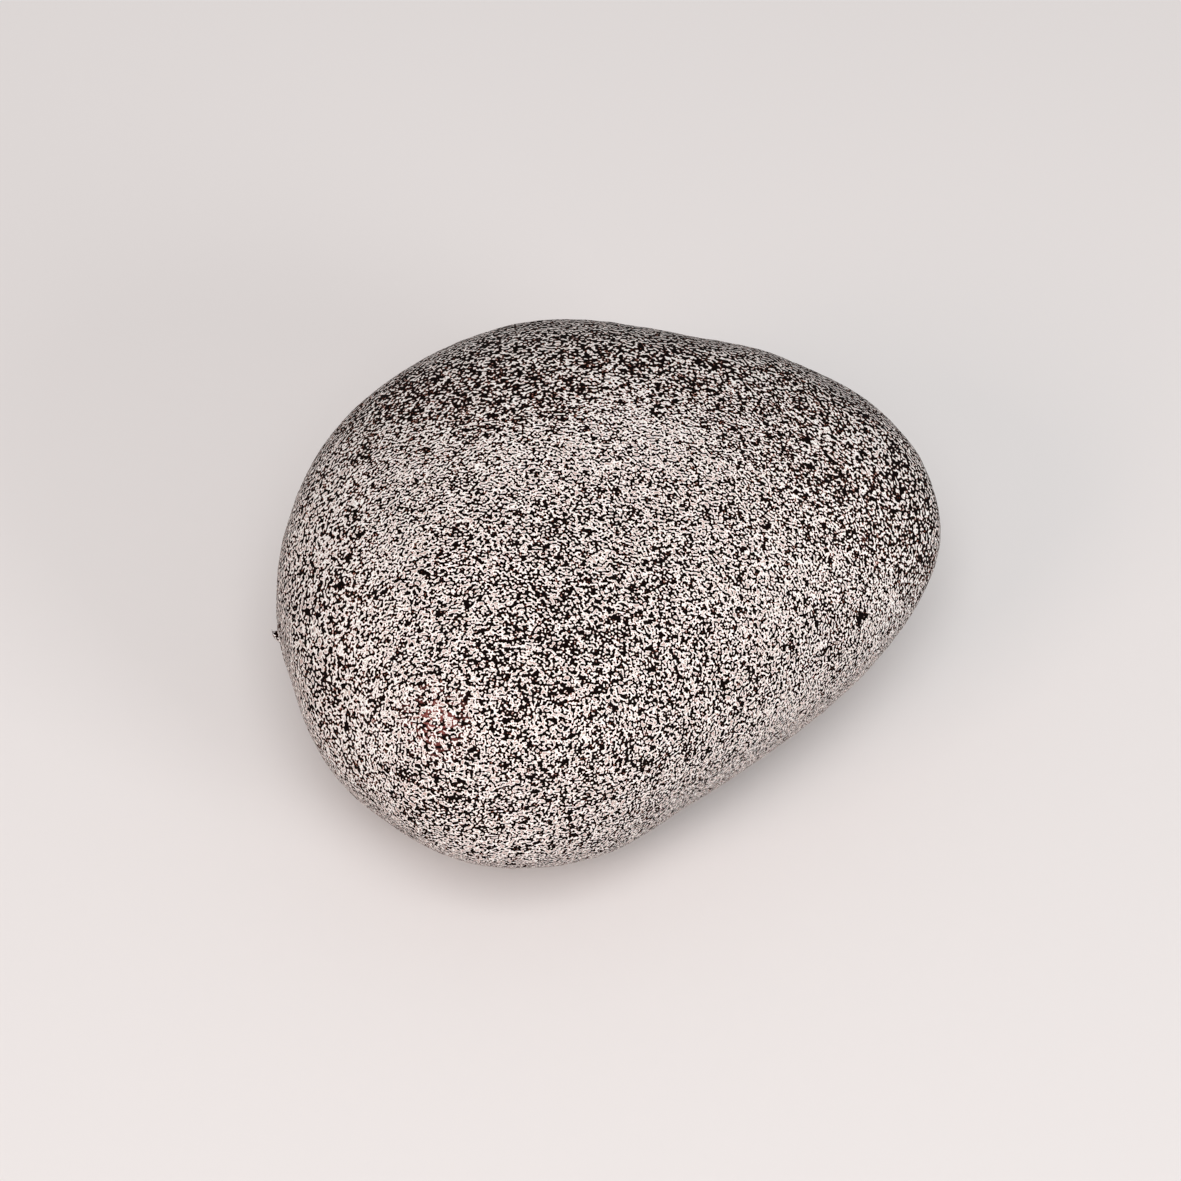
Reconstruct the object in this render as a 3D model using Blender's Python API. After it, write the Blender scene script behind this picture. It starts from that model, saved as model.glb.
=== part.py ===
"""River pebble: one loose stone of speckled igneous rock, worn to an egg by running water.

Metres, +Z up. The long axis runs along X with the narrow end at +X. The stone lies on a small
worn flat at Z = 0, and the middle of its box is over the origin.
"""

from dataclasses import dataclass
from math import cos, pi, radians, sin, tan

import bmesh
import bpy
from mathutils import Vector

MM = 0.001

# The egg before wear: overall length, width and height.
LENGTH = 74.5 * MM
WIDTH = 58.5 * MM
HEIGHT = 46.5 * MM

# How much narrower and lower the stone is at its +X end, as a share of its middle.
WIDTH_TAPER = 0.10
HEIGHT_TAPER = 0.16
# How much the width swells towards both ends, which makes them blunt.
END_FULLNESS = 0.06
# How far both ends lean towards -Y, so that the back is rounder than the front.
LEAN = 7.0 * MM

# The worn flat that the stone lies on: how deep it cuts in, and over what height it blends.
REST_DEPTH = 2.5 * MM
REST_BLEND = 1.0 * MM

# Long, low waves all over, left by knocks that later wear has smoothed.
WAVE_HEIGHT = 0.12 * MM
WAVE_LENGTH = 23.0 * MM

# Squares along one edge of the cube that is rounded into the stone.
GRID = 25

STONE_COLOR = (0.33, 0.285, 0.268, 1.0)
STONE_ROUGHNESS = 0.72


@dataclass(frozen=True)
class WornFace:
    """A side that rolling has worn nearly flat.

    The azimuth turns from +X towards +Y and the elevation up from level, both in degrees.
    The distance is from the middle of the egg to the face, and the blend is the depth over
    which the face rounds off into its surroundings.
    """

    azimuth: float
    elevation: float
    distance: float
    blend: float


@dataclass(frozen=True)
class Swelling:
    """A low round swelling, or with a negative height a shallow hollow."""

    azimuth: float
    elevation: float
    radius: float
    height: float


WORN_FACES = (
    # Upper side, from the back round to the narrow end.
    WornFace(100, 30, 33.5 * MM, 6.0 * MM),
    WornFace(45, 40, 25.5 * MM, 2.5 * MM),
    WornFace(15, 35, 29.5 * MM, 1.0 * MM),
    WornFace(-20, 10, 40.5 * MM, 5.5 * MM),
    # Top and front, which meet in a soft ridge.
    WornFace(-100, 70, 24.0 * MM, 2.5 * MM),
    WornFace(-120, 10, 34.5 * MM, 2.5 * MM),
    # Lower front and the wide end.
    WornFace(-75, -30, 34.0 * MM, 8.0 * MM),
    WornFace(-165, -35, 39.5 * MM, 13.0 * MM),
    WornFace(160, -10, 34.5 * MM, 4.0 * MM),
    # Lower back.
    WornFace(65, -20, 27.0 * MM, 3.0 * MM),
    WornFace(115, -45, 27.0 * MM, 3.0 * MM),
    WornFace(10, -45, 27.5 * MM, 3.0 * MM),
)

SWELLINGS = (
    Swelling(-120, -20, 9.0 * MM, 0.60 * MM),
    Swelling(-65, -15, 8.0 * MM, 0.20 * MM),
    Swelling(0, 10, 9.0 * MM, 1.30 * MM),
    Swelling(50, 30, 12.0 * MM, 0.40 * MM),
    Swelling(165, 0, 7.0 * MM, 0.30 * MM),
    Swelling(-100, -20, 10.0 * MM, -0.50 * MM),
    Swelling(75, -5, 11.0 * MM, -0.45 * MM),
    Swelling(30, -25, 9.0 * MM, -0.35 * MM),
)


def clear_scene() -> None:
    """Removes what the startup scene holds."""
    for obj in list(bpy.data.objects):
        bpy.data.objects.remove(obj, do_unlink=True)


def facing(azimuth: float, elevation: float) -> Vector:
    """The unit vector at this azimuth and elevation, in degrees."""
    turn = radians(azimuth)
    rise = radians(elevation)
    return Vector((cos(turn) * cos(rise), sin(turn) * cos(rise), sin(rise)))


def soft_step(value: float, blend: float) -> float:
    """Zero below -blend and the value itself above blend, with a smooth bend between them."""
    if value <= -blend:
        return 0.0
    if value >= blend:
        return value
    return (value + blend) ** 2 / (4.0 * blend)


def on_sphere(corner: Vector) -> Vector:
    """Moves a point of the cube from -1 to 1 onto the unit sphere, with squares of like size."""
    spread = Vector([tan(value * pi / 4.0) for value in corner])
    return spread.normalized()


def egg(unit: Vector) -> Vector:
    """The unworn egg: an ellipsoid that tapers towards +X and leans at both ends."""
    along = unit.x
    width = WIDTH / 2.0 * (1.0 - WIDTH_TAPER * along + END_FULLNESS * along**2)
    height = HEIGHT / 2.0 * (1.0 - HEIGHT_TAPER * along)
    return Vector((LENGTH / 2.0 * along, width * unit.y - LEAN * along**2, height * unit.z))


def wear(point: Vector, face: WornFace) -> Vector:
    """Takes off what stands out past a worn face."""
    outward = facing(face.azimuth, face.elevation)
    return point - outward * soft_step(point.dot(outward) - face.distance, face.blend)


def swell(point: Vector, centre: Vector, swelling: Swelling) -> Vector:
    """Raises a low swelling, or sinks a hollow, round its centre on the surface."""
    reach = (point - centre).length / swelling.radius
    if reach >= 1.0:
        return point
    return point + centre.normalized() * swelling.height * (1.0 - reach**2) ** 2


def wave(point: Vector) -> Vector:
    """Adds the long waves, which cross each other so that none runs right round."""
    turn = 2.0 * pi / WAVE_LENGTH
    crossing = (
        sin(turn * (point.x + 0.4 * point.y))
        * sin(turn * (point.y - 0.5 * point.z) + 1.1)
        + 0.6 * sin(turn * 1.7 * (point.z + 0.3 * point.x) + 0.4)
    )
    return point + point.normalized() * WAVE_HEIGHT * crossing


def surface_towards(points: list[Vector], outward: Vector) -> Vector:
    """The point of the surface that lies nearest to this direction from the middle."""
    return max(points, key=lambda point: point.normalized().dot(outward)).copy()


def worn_stone(units: list[Vector]) -> list[Vector]:
    """The stone's surface points, one for each point of the unit sphere."""
    points = [egg(unit) for unit in units]
    for face in WORN_FACES:
        points = [wear(point, face) for point in points]
    for swelling in SWELLINGS:
        centre = surface_towards(points, facing(swelling.azimuth, swelling.elevation))
        points = [swell(point, centre, swelling) for point in points]
    return [wave(point) for point in points]


def laid_down(points: list[Vector]) -> list[Vector]:
    """Wears the flat underside and brings the stone to rest on it over the origin."""
    rest = min(point.z for point in points) + REST_DEPTH
    middle_x = (max(point.x for point in points) + min(point.x for point in points)) / 2.0
    middle_y = (max(point.y for point in points) + min(point.y for point in points)) / 2.0
    return [
        Vector((point.x - middle_x, point.y - middle_y, soft_step(point.z - rest, REST_BLEND)))
        for point in points
    ]


def stone_material() -> bpy.types.Material:
    """Dull, slightly pinkish grey stone."""
    material = bpy.data.materials.new("speckled_stone")
    material.use_nodes = True
    shader = material.node_tree.nodes["Principled BSDF"]
    shader.inputs["Base Color"].default_value = STONE_COLOR
    shader.inputs["Roughness"].default_value = STONE_ROUGHNESS
    shader.inputs["Metallic"].default_value = 0.0
    return material


def build_pebble(collection: bpy.types.Collection) -> bpy.types.Object:
    """Builds the pebble from a subdivided cube, rounded, worn and laid down."""
    shape = bmesh.new()
    bmesh.ops.create_cube(shape, size=2.0)
    bmesh.ops.subdivide_edges(shape, edges=shape.edges[:], cuts=GRID - 1, use_grid_fill=True)
    stone = laid_down(worn_stone([on_sphere(vertex.co) for vertex in shape.verts]))
    for vertex, point in zip(shape.verts, stone):
        vertex.co = point
    bmesh.ops.recalc_face_normals(shape, faces=shape.faces[:])
    for face in shape.faces:
        face.smooth = True
    mesh = bpy.data.meshes.new("pebble")
    shape.to_mesh(mesh)
    shape.free()
    mesh.materials.append(stone_material())
    pebble = bpy.data.objects.new("pebble", mesh)
    collection.objects.link(pebble)
    return pebble


def main() -> None:
    """Clears the scene and builds the pebble in a collection of its own."""
    clear_scene()
    collection = bpy.data.collections.new("river_pebble")
    bpy.context.scene.collection.children.link(collection)
    build_pebble(collection)


if __name__ == "__main__":
    main()
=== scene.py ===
"""Looks of a river pebble: one loose, dry, water-worn stone with fine black specks.

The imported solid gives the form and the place. The stone that shows is a finer mesh laid over that
form, with the low relief that wear leaves on it and a procedural finish. Metres, +Z up, with the
narrow end towards +X.
"""
import logging
import math
from collections.abc import Callable
from dataclasses import dataclass
from enum import Enum

import bpy
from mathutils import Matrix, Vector


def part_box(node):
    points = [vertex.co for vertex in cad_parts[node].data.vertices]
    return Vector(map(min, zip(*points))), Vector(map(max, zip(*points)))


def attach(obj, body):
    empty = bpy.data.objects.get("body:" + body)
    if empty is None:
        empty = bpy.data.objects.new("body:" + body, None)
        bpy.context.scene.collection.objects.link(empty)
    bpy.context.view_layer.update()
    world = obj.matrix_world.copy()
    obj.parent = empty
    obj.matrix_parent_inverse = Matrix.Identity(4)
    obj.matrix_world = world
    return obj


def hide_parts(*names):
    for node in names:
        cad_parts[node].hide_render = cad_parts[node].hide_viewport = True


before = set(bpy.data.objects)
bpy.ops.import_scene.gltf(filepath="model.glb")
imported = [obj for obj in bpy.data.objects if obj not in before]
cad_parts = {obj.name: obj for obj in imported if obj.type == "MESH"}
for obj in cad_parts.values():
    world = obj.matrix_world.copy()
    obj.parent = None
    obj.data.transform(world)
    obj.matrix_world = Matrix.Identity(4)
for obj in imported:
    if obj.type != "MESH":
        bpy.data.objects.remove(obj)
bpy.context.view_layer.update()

MM = 0.001
BODY = "root"
NODE = "pebble"

# A Mix node's inputs and output share their names, so they are linked by number.
MIX_SHARE = 0
MIX_VALUES = (2, 3)
MIX_VALUE_OUT = 0
MIX_COLORS = (6, 7)
MIX_COLOR_OUT = 2

log = logging.getLogger("river_pebble")


def srgb(code: str) -> tuple[float, float, float, float]:
    """Turns an sRGB hex colour into the linear colour that a shader socket takes.

    Args:
        code: Six hex digits, with or without a leading #.

    Returns:
        Linear red, green and blue, and an alpha of one.
    """
    digits = code.lstrip("#")
    channels = [int(digits[start:start + 2], 16) / 255.0 for start in (0, 2, 4)]
    linear = [c / 12.92 if c <= 0.04045 else ((c + 0.055) / 1.055) ** 2.4 for c in channels]
    return linear[0], linear[1], linear[2], 1.0


def bearing(azimuth: float, elevation: float) -> Vector:
    """Gives the direction from the stone to something around it.

    Args:
        azimuth: Degrees round from -Y, counter-clockwise seen from above.
        elevation: Degrees above the ground.

    Returns:
        A unit vector.
    """
    turn = math.radians(azimuth)
    rise = math.radians(elevation)
    flat = math.cos(rise)
    return Vector((math.sin(turn) * flat, -math.cos(turn) * flat, math.sin(rise)))


def add_node(
    tree: bpy.types.NodeTree,
    kind: str,
    settings: dict[str, object] | None = None,
    links: dict[str | int, bpy.types.NodeSocket] | None = None,
) -> bpy.types.Node:
    """Adds a node, sets its values and links its inputs.

    Args:
        tree: The node tree that takes the node.
        kind: The node's type, such as ShaderNodeTexNoise.
        settings: Values by property name, or by input name where there is no such property.
        links: Output sockets by the name or number of the input that takes them.

    Returns:
        The new node.
    """
    node = tree.nodes.new(kind)
    for name, value in (settings or {}).items():
        if hasattr(node, name):
            setattr(node, name, value)
        else:
            node.inputs[int(name) if name.isdigit() else name].default_value = value
    for name, output in (links or {}).items():
        tree.links.new(output, node.inputs[name])
    return node


class ReliefPattern(Enum):
    """What a layer of relief is made of."""

    ROLLING = "CLOUDS"
    PITTED = "VORONOI"


@dataclass(frozen=True)
class Relief:
    """One layer of low relief, worn into the stone.

    Attributes:
        name: What the layer is, for the texture's name.
        pattern: Rolling ground or separate pits.
        size: How far apart its features are, in metres.
        depth: From its lowest to its highest point, in metres.
        level: The pattern value that leaves the surface where it is.
    """

    name: str
    pattern: ReliefPattern
    size: float
    depth: float
    level: float = 0.5

    def press_into(self, piece: bpy.types.Object) -> None:
        """Moves the surface in and out along its normals by this layer.

        Args:
            piece: The active object.
        """
        texture = bpy.data.textures.new(self.name, self.pattern.value)
        texture.noise_scale = self.size
        if self.pattern is ReliefPattern.ROLLING:
            texture.noise_depth = 1
        layer = piece.modifiers.new(self.name, "DISPLACE")
        layer.texture = texture
        layer.texture_coords = "LOCAL"
        layer.strength = self.depth
        layer.mid_level = self.level
        bpy.ops.object.modifier_apply(modifier=layer.name)
        bpy.data.textures.remove(texture)


@dataclass(frozen=True)
class Patch:
    """A soft round patch of the surface, given by a ball that it lies in.

    Attributes:
        place: The ball's middle, in millimetres.
        core: How far from the middle the patch is at its full strength, in millimetres.
        reach: How far from the middle it ends, in millimetres.
    """

    place: tuple[float, float, float]
    core: float
    reach: float

    def strength(
        self, tree: bpy.types.NodeTree, position: bpy.types.NodeSocket
    ) -> bpy.types.NodeSocket:
        """Makes a value that falls from one in the patch's core to zero at its edge.

        Args:
            tree: The material's node tree.
            position: Object coordinates.

        Returns:
            The value's socket.
        """
        place = tuple(value * MM for value in self.place)
        away = add_node(
            tree,
            "ShaderNodeVectorMath",
            {"operation": "DISTANCE", "1": place},
            {0: position},
        )
        fade = add_node(
            tree,
            "ShaderNodeMapRange",
            {
                "interpolation_type": "SMOOTHSTEP",
                "From Min": self.reach * MM,
                "From Max": self.core * MM,
            },
            {"Value": away.outputs["Value"]},
        )
        return fade.outputs["Result"]


@dataclass(frozen=True)
class Side:
    """One side of the stone, given by the way that it faces.

    Attributes:
        azimuth: Where the side faces, in degrees round from -Y.
        elevation: How far it faces up, in degrees.
        start: Cosine of the angle from that direction at which the side fades out.
        full: Cosine of the angle within which it is at its full strength.
    """

    azimuth: float
    elevation: float
    start: float
    full: float

    def strength(self, tree: bpy.types.NodeTree) -> bpy.types.NodeSocket:
        """Makes a value that rises from zero where the side starts to one where it is full.

        Args:
            tree: The material's node tree.

        Returns:
            The value's socket.
        """
        facing = add_node(
            tree,
            "ShaderNodeVectorMath",
            {"operation": "DOT_PRODUCT", "1": bearing(self.azimuth, self.elevation)},
            {0: add_node(tree, "ShaderNodeTexCoord").outputs["Normal"]},
        )
        fade = add_node(
            tree,
            "ShaderNodeMapRange",
            {"interpolation_type": "SMOOTHSTEP", "From Min": self.start, "From Max": self.full},
            {"Value": facing.outputs["Value"]},
        )
        return fade.outputs["Result"]


@dataclass(frozen=True)
class GrainLie:
    """How the crystals lie, with painted shade on one flank of each crystal and a painted highlight
    on the other.

    Attributes:
        azimuth: Where the sheets' normal points, in degrees round from -Y.
        elevation: How far that normal points up, in degrees.
        thickness: Thickness of a crystal as a share of its width.
        flank_shade_offset_mm: How far the copy that paints the flank shade is moved, in
            millimetres.
        own: How strongly a crystal counts at its own place.
        painted_flank_shade: How strongly the moved copy is taken off, which paints the flank shade
            and highlight.
    """

    azimuth: float
    elevation: float
    thickness: float
    flank_shade_offset_mm: float
    own: float = 1.13
    painted_flank_shade: float = 0.72

    def crystals_with_flank_shade(
        self, tree: bpy.types.NodeTree, position: bpy.types.NodeSocket, size_mm: float
    ) -> bpy.types.NodeSocket:
        """Makes a field of crystals with painted shade on one flank of each and a highlight on the
        other.

        Args:
            tree: The material's node tree.
            position: Object coordinates.
            size_mm: How far apart the crystals are, in millimetres.

        Returns:
            The field's socket, around a half.
        """
        # Keeps the middle of the field at a half, whatever the two strengths are.
        level = (1.0 - self.own + self.painted_flank_shade) / 2.0
        here = add_node(
            tree,
            "ShaderNodeMath",
            {"operation": "MULTIPLY_ADD", "1": self.own, "2": level},
            {0: self.noise(tree, position, size_mm)},
        )
        # The field one step further along the lie, taken off, paints shade on one flank of each
        # crystal and a highlight on the other.
        flank_shade_copy = self.noise(tree, position, size_mm, flank_shade_offset_mm=self.flank_shade_offset_mm)
        field = add_node(
            tree,
            "ShaderNodeMath",
            {"operation": "MULTIPLY_ADD", "1": -self.painted_flank_shade},
            {0: flank_shade_copy, 2: here.outputs[0]},
        )
        return field.outputs[0]

    def noise(
        self,
        tree: bpy.types.NodeTree,
        position: bpy.types.NodeSocket,
        size_mm: float,
        detail: float = 0.0,
        length: float = 1.0,
        flank_shade_offset_mm: float = 0.0,
    ) -> bpy.types.NodeSocket:
        """Makes a field of crystals.

        Args:
            tree: The material's node tree.
            position: Object coordinates.
            size_mm: How far apart the crystals are, in millimetres.
            detail: How ragged their edges are.
            length: How many times longer than wide they are.
            flank_shade_offset_mm: How far the field is moved for the painted flank shade, in
                millimetres.

        Returns:
            The field's socket, from zero to one and mostly near a half.
        """
        across = bearing(self.azimuth, self.elevation)
        width = size_mm * MM
        in_grain = add_node(
            tree,
            "ShaderNodeMapping",
            {
                "vector_type": "TEXTURE",
                "Location": across * flank_shade_offset_mm * MM,
                "Rotation": across.to_track_quat("Z", "Y").to_euler(),
                "Scale": (width * length, width, width * self.thickness),
            },
            {"Vector": position},
        )
        field = add_node(
            tree,
            "ShaderNodeTexNoise",
            {"Scale": 1.0, "Detail": detail},
            {"Vector": in_grain.outputs["Vector"]},
        )
        return field.outputs["Fac"]


@dataclass(frozen=True)
class DarkCrystals:
    """Black crystals of one kind, or places where the fine ones crowd together.

    Attributes:
        size_mm: How far apart they are, which is about twice their width, in millimetres.
        low: The field's value below which it is as dark as it gets.
        high: The field's value from which nothing is darkened.
        weight: The most that is taken off the paleness.
        length: How many times longer than wide they are, along the lie of the grain.
        detail: How ragged their edges are.
    """

    size_mm: float
    low: float
    high: float
    weight: float
    length: float = 1.0
    detail: float = 0.0

    def taking(
        self, tree: bpy.types.NodeTree, position: bpy.types.NodeSocket, lie: GrainLie
    ) -> bpy.types.NodeSocket:
        """Makes what these crystals take off the paleness.

        Args:
            tree: The material's node tree.
            position: Object coordinates.
            lie: How the crystals lie.

        Returns:
            The value's socket, from zero to the weight.
        """
        field = lie.noise(tree, position, self.size_mm, self.detail, self.length)
        share = add_node(
            tree,
            "ShaderNodeMapRange",
            {
                "From Min": self.high,
                "From Max": self.low,
                "To Max": self.weight,
            },
            {"Value": field},
        )
        return share.outputs["Result"]


@dataclass(frozen=True)
class WaterWornDiorite:
    """Fine-grained diorite, tumbled by a river and dry.

    Pale feldspar crystals hold nearly as many black ones of hornblende and biotite, so that from
    a step away the stone is grey and up close it is salt and pepper. The black crystals are 0.1 to
    0.2 mm thick and up to 0.8 mm long, and lie in thin wavy sheets. They crowd together in knots
    of 0.5 to 1 mm. Tumbling bruises every crystal's face, which leaves the stone dull. Those
    bruises are under 0.05 mm, finer than a pixel, so the roughness alone stands for them, and the
    larger ones are in the mesh. The colour also holds painted shade: on one flank of each crystal,
    with a painted highlight on the other, and on the sides that face away from the lights.

    Attributes:
        name: The material's name.
        hornblende: The black crystals.
        hornblende_edge: Their thin edges, which let some light through.
        feldspar_edge: The palest feldspar, which is next to the black crystals.
        feldspar_face: The rest of the feldspar, which is pinkish grey.
        rust: Iron that has come out of a weathered crystal.
        lie: How the crystals lie over most of the stone, with painted flank shade and highlight.
        coarse_lie: How they lie where they are coarse, with the same painted flank shade.
        grain_mm: How far apart the fine crystals are, about twice their thickness.
        coarse_mm: The same for the coarse ones.
        dark_crystals: Small and large knots, needles, and narrow and wide dark beds.
        back: The back, where the stone is coarse, with denser dark grains and painted shade.
        narrow_end: The narrow end, which is like the back.
        wide_end: The wide end, where it is coarse and no darker.
        far_shade_and_dark_grains: What the back and the narrow end take off the paleness, as
            painted shade where they face away from the lights and for their denser dark grains.
        front: The middle of the front, which is a little darker.
        front_darkening: What it takes off the paleness.
        stain: Where the rusty stain is, round a knot of black crystals.
        stain_darkening: What that knot takes off the paleness.
        stain_mm: Width of its strokes, in millimetres.
        stain_length: How many times longer than wide they are.
        stain_detail: How ragged their edges are.
        stain_from: Value of the stain's field above which there is some rust.
        stain_full: Value above which there is most.
        stain_strength: The most that rust covers.
        stain_on_pale: How much of that is on the pale crystals.
        black_below: Paleness below which a crystal is black.
        edge_at: Paleness of a black crystal's edge.
        white_above: Paleness at which the feldspar is palest.
        grey_above: Paleness at which it is pinkish grey.
        roughness: Roughness of the bruised surface.
        specular_level: How much of a gloss it keeps.
        ior: Refraction of feldspar.
    """

    name: str = "diorite_water_worn"
    hornblende: str = "#0B0504"
    hornblende_edge: str = "#98563F"
    feldspar_edge: str = "#FDFFFD"
    feldspar_face: str = "#BFA79F"
    rust: str = "#94504A"
    # Each lie takes off a moved copy of its field, which paints shade and highlight on the
    # crystals' flanks.
    lie: GrainLie = GrainLie(azimuth=-34.0, elevation=27.0, thickness=1.0, flank_shade_offset_mm=0.16)
    coarse_lie: GrainLie = GrainLie(azimuth=-34.0, elevation=46.0, thickness=1.8, flank_shade_offset_mm=0.3)
    grain_mm: float = 0.248
    coarse_mm: float = 0.3
    dark_crystals: tuple[DarkCrystals, ...] = (
        DarkCrystals(size_mm=0.9, low=0.28, high=0.36, weight=0.21, detail=1.5),
        DarkCrystals(size_mm=1.7, low=0.25, high=0.33, weight=0.16, detail=2.5),
        DarkCrystals(size_mm=0.45, low=0.26, high=0.34, weight=0.12, length=3.5),
        DarkCrystals(size_mm=2.6, low=0.35, high=0.65, weight=0.04, detail=1.0),
        DarkCrystals(size_mm=9.0, low=0.3, high=0.7, weight=0.04, detail=2.0),
    )
    back: Side = Side(azimuth=146.0, elevation=24.0, start=0.14, full=0.82)
    narrow_end: Side = Side(azimuth=80.0, elevation=12.0, start=0.3, full=0.85)
    wide_end: Side = Side(azimuth=-124.0, elevation=10.0, start=0.45, full=0.95)
    # Painted shade where the back and the narrow end face away from the lights, with their denser
    # dark grains.
    far_shade_and_dark_grains: float = 0.072
    front: Patch = Patch(place=(-14.0, -21.0, 35.0), core=8.0, reach=23.0)
    front_darkening: float = 0.032
    stain: Patch = Patch(place=(-30.0, -17.0, 33.0), core=0.5, reach=5.0)
    stain_darkening: float = 0.055
    stain_mm: float = 0.4
    stain_length: float = 3.0
    stain_detail: float = 1.0
    stain_from: float = 0.50
    stain_full: float = 0.58
    stain_strength: float = 0.7
    stain_on_pale: float = 0.08
    black_below: float = 0.41
    edge_at: float = 0.439
    white_above: float = 0.495
    grey_above: float = 0.72
    roughness: float = 0.85
    specular_level: float = 0.03
    ior: float = 1.55

    def build(self) -> bpy.types.Material:
        """Builds the stone's material on Object coordinates.

        Returns:
            The material.
        """
        material = bpy.data.materials.new(self.name)
        material.use_nodes = True
        tree = material.node_tree
        tree.nodes.clear()
        position = add_node(tree, "ShaderNodeTexCoord").outputs["Object"]
        paleness = self.paleness(tree, position)
        ramp = add_node(tree, "ShaderNodeValToRGB", None, {"Fac": paleness})
        stops = ramp.color_ramp.elements
        stops[0].position = self.black_below
        stops[0].color = srgb(self.hornblende)
        stops[1].position = self.grey_above
        stops[1].color = srgb(self.feldspar_face)
        stops.new(self.edge_at).color = srgb(self.hornblende_edge)
        stops.new(self.white_above).color = srgb(self.feldspar_edge)
        shader = add_node(
            tree,
            "ShaderNodeBsdfPrincipled",
            {
                "Roughness": self.roughness,
                "Specular IOR Level": self.specular_level,
                "IOR": self.ior,
                "Metallic": 0.0,
            },
            {"Base Color": self.stained(tree, position, paleness, ramp.outputs["Color"])},
        )
        add_node(tree, "ShaderNodeOutputMaterial", None, {"Surface": shader.outputs["BSDF"]})
        return material

    def paleness(
        self, tree: bpy.types.NodeTree, position: bpy.types.NodeSocket
    ) -> bpy.types.NodeSocket:
        """Makes the value that sorts the crystals, low on the black ones.

        Args:
            tree: The material's node tree.
            position: Object coordinates.

        Returns:
            The value's socket, around a half.
        """
        far = add_node(
            tree,
            "ShaderNodeMath",
            {"operation": "MAXIMUM"},
            {0: self.back.strength(tree), 1: self.narrow_end.strength(tree)},
        ).outputs[0]
        coarse = add_node(
            tree,
            "ShaderNodeMath",
            {"operation": "MAXIMUM"},
            {0: far, 1: self.wide_end.strength(tree)},
        ).outputs[0]
        # Both grain fields carry painted shade and highlight on the crystals' flanks.
        total = add_node(
            tree,
            "ShaderNodeMix",
            {"data_type": "FLOAT"},
            {
                MIX_SHARE: coarse,
                MIX_VALUES[0]: self.lie.crystals_with_flank_shade(tree, position, self.grain_mm),
                MIX_VALUES[1]: self.coarse_lie.crystals_with_flank_shade(tree, position, self.coarse_mm),
            },
        ).outputs[MIX_VALUE_OUT]
        for crystals in self.dark_crystals:
            taking = crystals.taking(tree, position, self.lie)
            total = add_node(
                tree, "ShaderNodeMath", {"operation": "SUBTRACT"}, {0: total, 1: taking}
            ).outputs[0]
        # The back and the narrow end are darkened partly as painted shade and partly for denser
        # dark grains.
        darkenings = (
            (far, self.far_shade_and_dark_grains),
            (self.front.strength(tree, position), self.front_darkening),
            (self.stain.strength(tree, position), self.stain_darkening),
        )
        for share, darkening in darkenings:
            total = add_node(
                tree,
                "ShaderNodeMath",
                {"operation": "MULTIPLY_ADD", "1": -darkening},
                {0: share, 2: total},
            ).outputs[0]
        return total

    def stained(
        self,
        tree: bpy.types.NodeTree,
        position: bpy.types.NodeSocket,
        paleness: bpy.types.NodeSocket,
        color: bpy.types.NodeSocket,
    ) -> bpy.types.NodeSocket:
        """Adds the rusty stain, where iron in a few weathered black crystals has turned to rust.

        Args:
            tree: The material's node tree.
            position: Object coordinates.
            paleness: The value that sorts the crystals.
            color: The colour of the clean stone.

        Returns:
            The stained colour's socket.
        """
        strokes = self.lie.noise(
            tree, position, self.stain_mm, self.stain_detail, self.stain_length
        )
        weathered = add_node(
            tree,
            "ShaderNodeMapRange",
            {
                "From Min": self.stain_from,
                "From Max": self.stain_full,
                "To Max": self.stain_strength,
            },
            {"Value": strokes},
        )
        darkness = add_node(
            tree,
            "ShaderNodeMapRange",
            {
                "From Min": self.white_above,
                "From Max": self.edge_at,
                "To Min": self.stain_on_pale,
            },
            {"Value": paleness},
        )
        share = self.stain.strength(tree, position)
        for part in (weathered, darkness):
            share = add_node(
                tree,
                "ShaderNodeMath",
                {"operation": "MULTIPLY"},
                {0: share, 1: part.outputs["Result"]},
            ).outputs[0]
        mix = add_node(
            tree,
            "ShaderNodeMix",
            {"data_type": "RGBA"},
            {MIX_SHARE: share, MIX_COLORS[0]: color},
        )
        mix.inputs[MIX_COLORS[1]].default_value = srgb(self.rust)
        return mix.outputs[MIX_COLOR_OUT]


def select_faces(piece: bpy.types.Object, wanted: Callable[[Vector], bool]) -> None:
    """Selects the faces whose middle passes a test, and leaves the piece in edit mode.

    Args:
        piece: The active object.
        wanted: Takes the middle of a face and tells whether it is wanted.
    """
    bpy.ops.object.mode_set(mode="EDIT")
    bpy.ops.mesh.select_mode(type="FACE")
    bpy.ops.mesh.select_all(action="DESELECT")
    bpy.ops.object.mode_set(mode="OBJECT")
    for face in piece.data.polygons:
        face.select = wanted(face.center)
    bpy.ops.object.mode_set(mode="EDIT")


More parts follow.
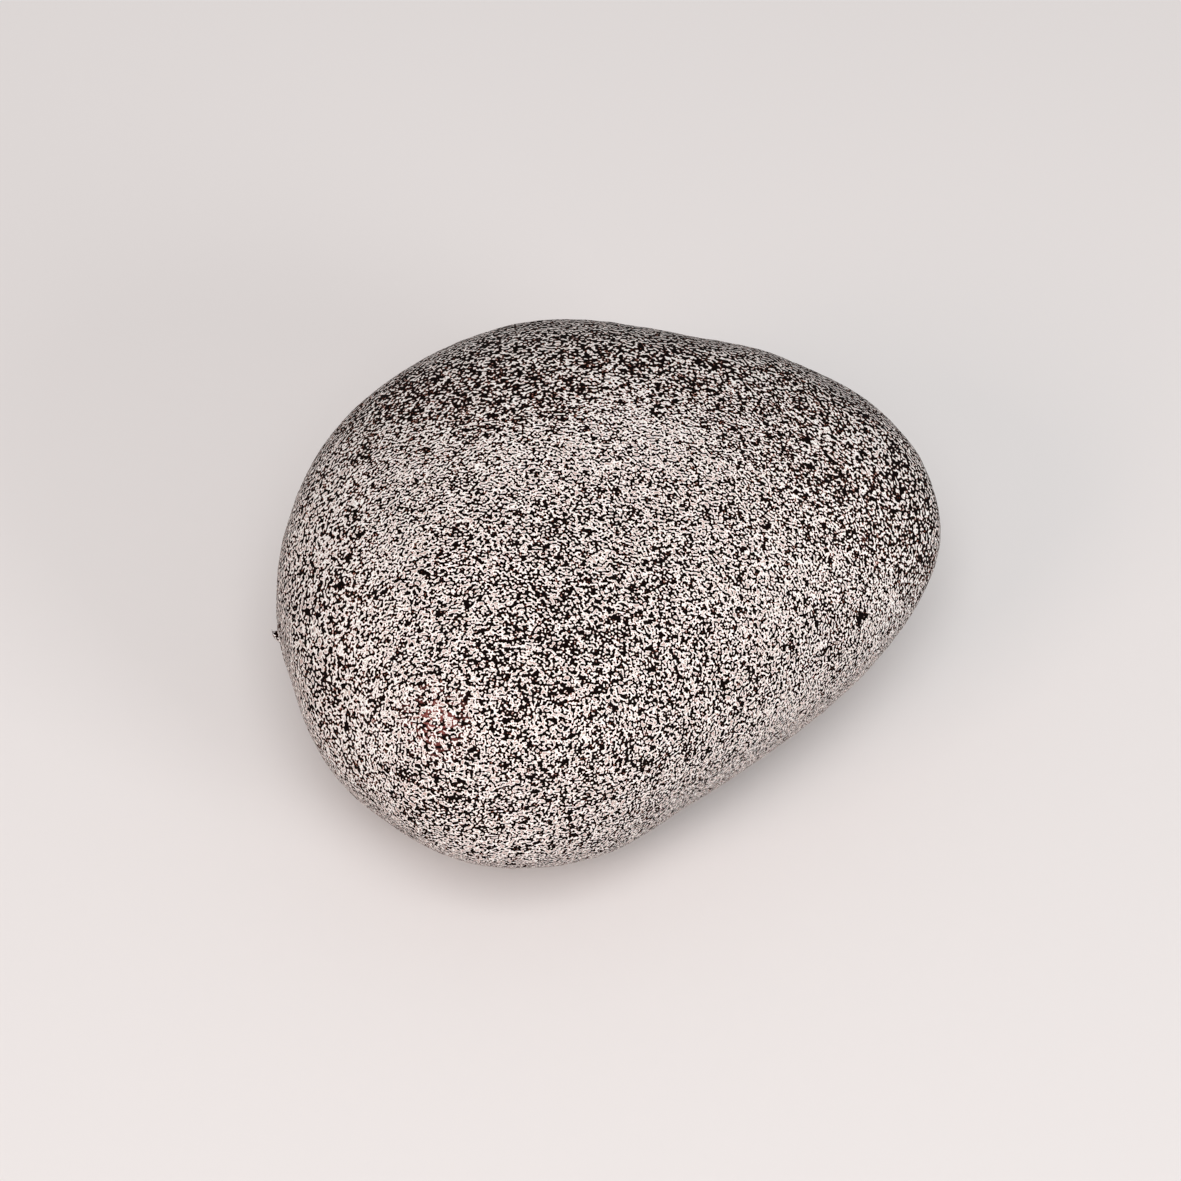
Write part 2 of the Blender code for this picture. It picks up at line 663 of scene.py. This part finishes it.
@dataclass(frozen=True)
class Flake:
    """A flake that a knock has half lifted from the wide end's side, with the nick under it.

    Attributes:
        root: Where the flake grows out of the stone, in metres.
        across: Azimuth of the direction in which it stands out.
        along: Azimuth and elevation of the direction in which its tip curls.
        half_height: Half its root's size along that direction.
        half_depth: Half its root's size at right angles to both.
        steps: For each stretch, how far out, how far along the curl, and what size it keeps.
        nick: Middle of the nick, in metres.
        nick_reach: Half the nick's length and half its width.
        nick_depth: How deep the nick is.
    """

    root: tuple[float, float, float] = (-33.1 * MM, 9.2 * MM, 21.8 * MM)
    across: float = -124.1
    along: tuple[float, float] = (145.9, 40.0)
    half_height: float = 0.50 * MM
    half_depth: float = 0.65 * MM
    steps: tuple[tuple[float, float, float], ...] = (
        (0.22 * MM, 0.03 * MM, 0.85),
        (0.24 * MM, 0.10 * MM, 0.72),
        (0.20 * MM, 0.20 * MM, 0.62),
        (0.02 * MM, 0.30 * MM, 0.70),
    )
    nick: tuple[float, float, float] = (-33.4 * MM, 8.1 * MM, 20.9 * MM)
    nick_reach: tuple[float, float] = (0.55 * MM, 0.25 * MM)
    nick_depth: float = 0.35 * MM

    def lift(self, piece: bpy.types.Object) -> None:
        """Cuts the nick and draws the flake out of the surface.

        Args:
            piece: The stone's skin, as the active object.
        """
        outward = bearing(self.across, 0.0)
        curl = bearing(*self.along)
        nick = Vector(self.nick)
        half_length, half_width = self.nick_reach
        select_faces(
            piece,
            lambda middle: abs((middle - nick).dot(curl)) < half_length
            and (middle - nick).cross(curl).length < half_width,
        )
        bpy.ops.transform.translate(value=-outward * self.nick_depth)
        bpy.ops.object.mode_set(mode="OBJECT")
        root = Vector(self.root)
        sideways = outward.cross(curl)
        select_faces(
            piece,
            lambda middle: abs((middle - root).dot(curl)) < self.half_height
            and abs((middle - root).dot(sideways)) < self.half_depth
            and abs((middle - root).dot(outward)) < self.half_depth,
        )
        for out, up, keep in self.steps:
            move = outward * out + curl * up
            root = root + move
            bpy.ops.mesh.extrude_region_move(TRANSFORM_OT_translate={"value": move})
            bpy.ops.transform.resize(value=(keep, keep, keep), center_override=root)
        bpy.ops.object.mode_set(mode="OBJECT")


@dataclass
class Pebble:
    """The stone itself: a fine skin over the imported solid, with its relief and finish.

    Attributes:
        cage_cuts: Cuts along each edge of the cube that the skin starts from.
        skin_levels: How many times each of the cage's squares is halved.
        form_levels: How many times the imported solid's squares are halved before the skin goes on.
        merge_distance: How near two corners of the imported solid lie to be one.
        reliefs: The layers of low relief, widest first.
        flake: The half lifted flake.
        finish: The stone's material.
    """

    cage_cuts: int = 15
    skin_levels: int = 3
    form_levels: int = 2
    merge_distance: float = 0.001 * MM
    reliefs: tuple[Relief, ...] = (
        Relief("worn_swells", ReliefPattern.ROLLING, 6.0 * MM, 0.16 * MM),
        Relief("bruises", ReliefPattern.ROLLING, 1.8 * MM, 0.09 * MM),
        Relief("weathered_pits", ReliefPattern.PITTED, 1.3 * MM, 0.06 * MM),
    )
    flake: Flake = Flake()
    finish: WaterWornDiorite = WaterWornDiorite()

    def build(self) -> bpy.types.Object:
        """Builds the stone, dresses it and ties it to the frame.

        Returns:
            The finished piece.
        """
        form = self.smooth_form()
        skin = self.ball()
        self.lay_over(skin, form)
        bpy.data.objects.remove(form, do_unlink=True)
        for relief in self.reliefs:
            relief.press_into(skin)
        self.flatten_underside(skin)
        self.flake.lift(skin)
        bpy.ops.object.shade_smooth()
        skin.data.materials.append(self.finish.build())
        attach(skin, BODY)
        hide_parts(NODE)
        return skin

    def smooth_form(self) -> bpy.types.Object:
        """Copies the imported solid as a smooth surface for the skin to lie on.

        Returns:
            The copy.
        """
        bpy.ops.object.select_all(action="DESELECT")
        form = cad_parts[NODE].copy()
        form.data = form.data.copy()
        form.parent = None
        bpy.context.scene.collection.objects.link(form)
        form.select_set(True)
        bpy.context.view_layer.objects.active = form
        bpy.ops.object.mode_set(mode="EDIT")
        bpy.ops.mesh.select_all(action="SELECT")
        bpy.ops.mesh.remove_doubles(threshold=self.merge_distance)
        bpy.ops.mesh.tris_convert_to_quads()
        bpy.ops.object.mode_set(mode="OBJECT")
        smooth = form.modifiers.new("smooth", "SUBSURF")
        smooth.levels = self.form_levels
        smooth.render_levels = self.form_levels
        bpy.ops.object.modifier_apply(modifier=smooth.name)
        return form

    def ball(self) -> bpy.types.Object:
        """Adds a cube round the stone, cuts it into a cage and rounds it into an egg.

        Returns:
            The egg, as the active object.
        """
        low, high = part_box(NODE)
        side = 1.0
        bpy.ops.object.select_all(action="DESELECT")
        bpy.ops.mesh.primitive_cube_add(size=side, location=(low + high) / 2.0)
        skin = bpy.context.object
        skin.name = "worn_stone"
        skin.data.name = "worn_stone"
        bpy.ops.object.mode_set(mode="EDIT")
        bpy.ops.mesh.select_all(action="SELECT")
        bpy.ops.mesh.subdivide(number_cuts=self.cage_cuts)
        bpy.ops.object.mode_set(mode="OBJECT")
        finer = skin.modifiers.new("finer", "SUBSURF")
        finer.subdivision_type = "SIMPLE"
        finer.levels = self.skin_levels
        finer.render_levels = self.skin_levels
        bpy.ops.object.modifier_apply(modifier=finer.name)
        round_off = skin.modifiers.new("round_off", "CAST")
        round_off.cast_type = "SPHERE"
        round_off.factor = 1.0
        round_off.size = side / 2.0
        round_off.use_radius_as_size = False
        bpy.ops.object.modifier_apply(modifier=round_off.name)
        skin.scale = (high - low) / side
        bpy.ops.object.transform_apply(location=True, rotation=True, scale=True)
        return skin

    def lay_over(self, skin: bpy.types.Object, form: bpy.types.Object) -> None:
        """Wraps the skin onto the form.

        Args:
            skin: The fine mesh.
            form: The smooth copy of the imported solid.
        """
        bpy.ops.object.select_all(action="DESELECT")
        skin.select_set(True)
        bpy.context.view_layer.objects.active = skin
        wrap = skin.modifiers.new("wrap", "SHRINKWRAP")
        wrap.target = form
        wrap.wrap_method = "TARGET_PROJECT"
        bpy.ops.object.modifier_apply(modifier=wrap.name)

    def flatten_underside(self, skin: bpy.types.Object) -> None:
        """Brings what the relief pushed below the ground back onto it.

        Args:
            skin: The fine mesh, as the active object.
        """
        bpy.ops.object.mode_set(mode="EDIT")
        bpy.ops.mesh.select_mode(type="VERT")
        bpy.ops.mesh.select_all(action="DESELECT")
        bpy.ops.object.mode_set(mode="OBJECT")
        for vertex in skin.data.vertices:
            vertex.select = vertex.co.z < 0.0
        bpy.ops.object.mode_set(mode="EDIT")
        bpy.ops.transform.resize(value=(1.0, 1.0, 0.0), center_override=(0.0, 0.0, 0.0))
        bpy.ops.object.mode_set(mode="OBJECT")


@dataclass(frozen=True)
class SoftLight:
    """A square studio light that points at the stone.

    Attributes:
        name: Which light it is.
        azimuth: Where it stands, in degrees round from -Y.
        elevation: How high it stands, in degrees above the ground.
        side: Length of its side, in metres.
        power: In watts.
        distance: From the stone, in metres.
        tint: Its colour.
    """

    name: str
    azimuth: float
    elevation: float
    side: float
    power: float
    distance: float = 0.9
    tint: str = "#FFFFFF"

    def build(self, aim: Vector) -> None:
        """Adds the light.

        Args:
            aim: The point that it faces.
        """
        data = bpy.data.lights.new(self.name, "AREA")
        data.shape = "SQUARE"
        data.size = self.side
        data.energy = self.power
        data.color = srgb(self.tint)[:3]
        light = bpy.data.objects.new(self.name, data)
        towards = bearing(self.azimuth, self.elevation)
        light.location = aim + towards * self.distance
        light.rotation_mode = "QUATERNION"
        light.rotation_quaternion = (-towards).to_track_quat("-Z", "Y")
        bpy.context.scene.collection.objects.link(light)


@dataclass
class Studio:
    """Plain pale floor, soft lights and the camera.

    Attributes:
        floor_side: Length of the floor's side, in metres.
        floor_tint: The floor's colour.
        floor_roughness: Roughness of uncoated board, which is matt.
        floor_specular_level: How much of a gloss it has.
        sky_tint: Colour of the even light from all round.
        sky_strength: Its strength.
        lights: The large one over the camera, a warmer one on the left and a low one in front.
        camera_azimuth: Where the camera stands, in degrees round from -Y.
        camera_elevation: How high it stands, in degrees above the ground.
        camera_distance: From the point that it is aimed at, in metres.
        camera_lens: Focal length, in millimetres.
        camera_aim: The point that it and the lights are aimed at, in metres.
    """

    floor_side: float = 6.0
    floor_tint: str = "#E6E2E1"
    floor_roughness: float = 0.9
    floor_specular_level: float = 0.1
    sky_tint: str = "#FFFFFF"
    sky_strength: float = 0.42
    lights: tuple[SoftLight, ...] = (
        SoftLight("front_top", azimuth=-34.0, elevation=60.0, side=0.45, power=4.3),
        SoftLight("left", azimuth=-79.0, elevation=35.0, side=0.3, power=1.4, tint="#FFE2D6"),
        SoftLight("right", azimuth=12.0, elevation=24.0, side=0.3, power=2.1),
    )
    camera_azimuth: float = -34.1
    camera_elevation: float = 50.0
    camera_distance: float = 345.0 * MM
    camera_lens: float = 100.0
    camera_aim: Vector = Vector((-2.96 * MM, -4.25 * MM, 22.4 * MM))

    def build(self) -> None:
        """Sets up everything round the stone."""
        self.lay_floor()
        self.light_up()
        self.set_camera()

    def lay_floor(self) -> None:
        """Lays the floor."""
        bpy.ops.object.select_all(action="DESELECT")
        bpy.ops.mesh.primitive_plane_add(size=self.floor_side, location=(0.0, 0.0, 0.0))
        floor = bpy.context.object
        floor.name = "floor"
        material = bpy.data.materials.new("matt_pale_board")
        material.use_nodes = True
        shader = material.node_tree.nodes["Principled BSDF"]
        shader.inputs["Base Color"].default_value = srgb(self.floor_tint)
        shader.inputs["Roughness"].default_value = self.floor_roughness
        shader.inputs["Specular IOR Level"].default_value = self.floor_specular_level
        floor.data.materials.append(material)

    def light_up(self) -> None:
        """Adds the lights and the even light from all round."""
        for light in self.lights:
            light.build(self.camera_aim)
        world = bpy.data.worlds.new("even_light")
        bpy.context.scene.world = world
        world.use_nodes = True
        sky = world.node_tree.nodes["Background"]
        sky.inputs["Color"].default_value = srgb(self.sky_tint)
        sky.inputs["Strength"].default_value = self.sky_strength

    def set_camera(self) -> None:
        """Adds the camera at the photograph's angle and makes colours show as they are."""
        data = bpy.data.cameras.new("camera")
        data.lens = self.camera_lens
        camera = bpy.data.objects.new("camera", data)
        towards = bearing(self.camera_azimuth, self.camera_elevation)
        camera.location = self.camera_aim + towards * self.camera_distance
        camera.rotation_mode = "QUATERNION"
        camera.rotation_quaternion = (-towards).to_track_quat("-Z", "Y")
        bpy.context.scene.collection.objects.link(camera)
        bpy.context.scene.camera = camera
        bpy.context.scene.view_settings.view_transform = "Standard"


def main() -> None:
    """Builds the stone and the studio in order, and reports each piece."""
    logging.basicConfig(level=logging.INFO, format="%(message)s")
    stone = Pebble().build()
    log.info("%s: %d faces", stone.name, len(stone.data.polygons))
    Studio().build()
    log.info("studio ready")


if __name__ == "__main__":
    main()
